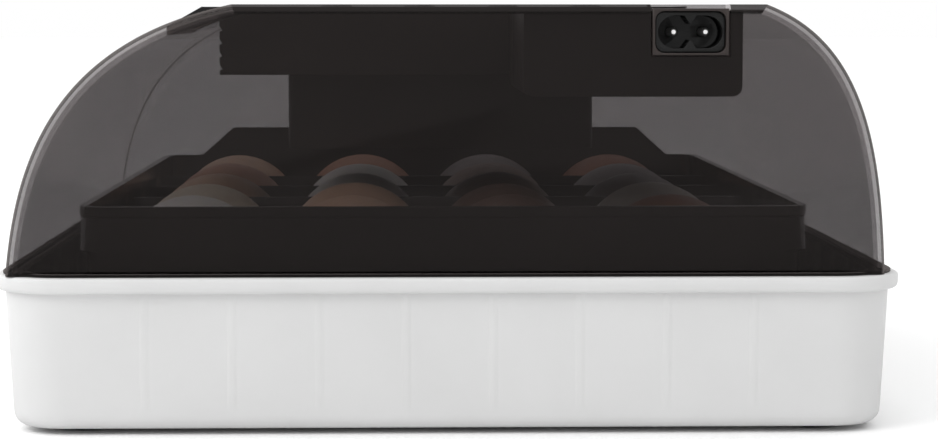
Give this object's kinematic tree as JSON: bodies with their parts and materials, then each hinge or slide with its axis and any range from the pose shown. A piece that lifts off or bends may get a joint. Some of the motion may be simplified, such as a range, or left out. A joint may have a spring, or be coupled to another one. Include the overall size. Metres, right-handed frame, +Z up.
{
  "type": "egg incubator",
  "caption": "Table-top egg incubator: white base tub, sliding egg-turning frame, smoked lift-off dome with control unit, fan and heater.",
  "frame": {"origin": "centre of the footprint, on the surface that the rubber feet stand on", "axes": "+Z up, +Y along the length from the power-inlet end to the far end, +X across the width, to the right when facing the power inlet"},
  "size_m": [0.247, 0.31, 0.1163],
  "materials": {
    "white_plastic": "satin moulded",
    "smoked_plastic": "clear smoked, polished",
    "black_plastic": "satin moulded",
    "gloss_black_plastic": "polished",
    "window_plastic": "tinted, polished",
    "display": "matt",
    "key_plastic": "satin",
    "lamp_plastic": "translucent",
    "eggshell": "fine-grained shell, white to brown",
    "rubber": "matt",
    "gear_plastic": "natural acetal",
    "steel": "plated",
    "pin_metal": "nickel plated",
    "circuit_board": "solder mask"
  },
  "bodies": {
    "base": {"base_tub": "white_plastic", "foot_front_left": "rubber", "foot_front_right": "rubber", "foot_rear_left": "rubber", "foot_rear_right": "rubber", "inner_liner": "black_plastic", "floor_grille": "black_plastic", "turner_motor": "steel", "motor_screw_left": "steel", "motor_screw_right": "steel"},
    "pinion": {"turner_pinion": "gear_plastic"},
    "turner_frame": {"egg_frame": "black_plastic", "divider_grid": "black_plastic", "turner_rack": "gear_plastic"},
    "eggs_column_1": {"egg_1_1": "eggshell", "egg_1_2": "eggshell", "egg_1_3": "eggshell", "egg_1_4": "eggshell", "egg_1_5": "eggshell"},
    "eggs_column_2": {"egg_2_1": "eggshell", "egg_2_2": "eggshell", "egg_2_3": "eggshell", "egg_2_4": "eggshell", "egg_2_5": "eggshell"},
    "eggs_column_3": {"egg_3_1": "eggshell", "egg_3_2": "eggshell", "egg_3_3": "eggshell", "egg_3_4": "eggshell", "egg_3_5": "eggshell"},
    "eggs_column_4": {"egg_4_1": "eggshell", "egg_4_2": "eggshell", "egg_4_3": "eggshell", "egg_4_4": "eggshell", "egg_4_5": "eggshell"},
    "lid": {"dome_cover": "smoked_plastic", "control_panel": "gloss_black_plastic", "display_window": "window_plastic", "display_module": "display", "power_lamp": "lamp_plastic", "heat_lamp": "lamp_plastic", "turn_lamp": "lamp_plastic", "main_board": "circuit_board", "control_housing": "black_plastic", "power_box": "black_plastic", "inlet_body": "gloss_black_plastic", "inlet_pin_left": "pin_metal", "inlet_pin_right": "pin_metal", "power_board": "circuit_board", "fan_housing": "black_plastic", "fan_frame": "black_plastic", "heater": "steel", "air_grille": "black_plastic", "sensor_probe": "white_plastic", "housing_screw_left": "steel", "housing_screw_right": "steel"},
    "key_turn": {"turn_key": "key_plastic"},
    "key_down": {"down_key": "key_plastic"},
    "key_up": {"up_key": "key_plastic"},
    "key_set": {"set_key": "key_plastic"},
    "fan": {"fan_rotor": "black_plastic"}
  },
  "joints": [
    {"name": "turner_slide", "type": "slide", "parent": "base", "child": "turner_frame", "axis": [1, 0, 0], "range_m": [-0.0085, 0.0095]},
    {"name": "pinion_spin", "type": "hinge", "parent": "base", "child": "pinion", "pos_m": [0, 0.1425, 0.026], "axis": [0, 0, 1], "range_deg": [-118, 132]},
    {"name": "egg_roll_1", "type": "hinge", "parent": "turner_frame", "child": "eggs_column_1", "pos_m": [-0.0719, 0, 0.0403], "axis": [0, 1, 0], "range_deg": [-23, 26]},
    {"name": "egg_roll_2", "type": "hinge", "parent": "turner_frame", "child": "eggs_column_2", "pos_m": [-0.0268, 0, 0.0403], "axis": [0, 1, 0], "range_deg": [-23, 26]},
    {"name": "egg_roll_3", "type": "hinge", "parent": "turner_frame", "child": "eggs_column_3", "pos_m": [0.0183, 0, 0.0403], "axis": [0, 1, 0], "range_deg": [-23, 26]},
    {"name": "egg_roll_4", "type": "hinge", "parent": "turner_frame", "child": "eggs_column_4", "pos_m": [0.0634, 0, 0.0403], "axis": [0, 1, 0], "range_deg": [-23, 26]},
    {"name": "lid_lift", "type": "slide", "parent": "base", "child": "lid", "axis": [0, 0, 1], "range_m": [0, 0.12]},
    {"name": "turn_key_press", "type": "slide", "parent": "lid", "child": "key_turn", "axis": [0, 0, -1], "range_m": [0, 0.0008], "stiffness_N_per_m": 900, "springref_m": -0.0002},
    {"name": "down_key_press", "type": "slide", "parent": "lid", "child": "key_down", "axis": [0, 0, -1], "range_m": [0, 0.0008], "stiffness_N_per_m": 900, "springref_m": -0.0002},
    {"name": "up_key_press", "type": "slide", "parent": "lid", "child": "key_up", "axis": [0, 0, -1], "range_m": [0, 0.0008], "stiffness_N_per_m": 900, "springref_m": -0.0002},
    {"name": "set_key_press", "type": "slide", "parent": "lid", "child": "key_set", "axis": [0, 0, -1], "range_m": [0, 0.0008], "stiffness_N_per_m": 900, "springref_m": -0.0002},
    {"name": "fan_spin", "type": "hinge", "parent": "lid", "child": "fan", "pos_m": [-0.0005, 0, 0.085], "axis": [0, 0, 1], "continuous": true}
  ],
  "couplings": [
    {"joint": "pinion_spin", "follows": "turner_slide", "rad_per_m": 238.1},
    {"joint": "egg_roll_1", "follows": "turner_slide", "rad_per_m": 44.843},
    {"joint": "egg_roll_2", "follows": "turner_slide", "rad_per_m": 44.843},
    {"joint": "egg_roll_3", "follows": "turner_slide", "rad_per_m": 44.843},
    {"joint": "egg_roll_4", "follows": "turner_slide", "rad_per_m": 44.843}
  ]
}
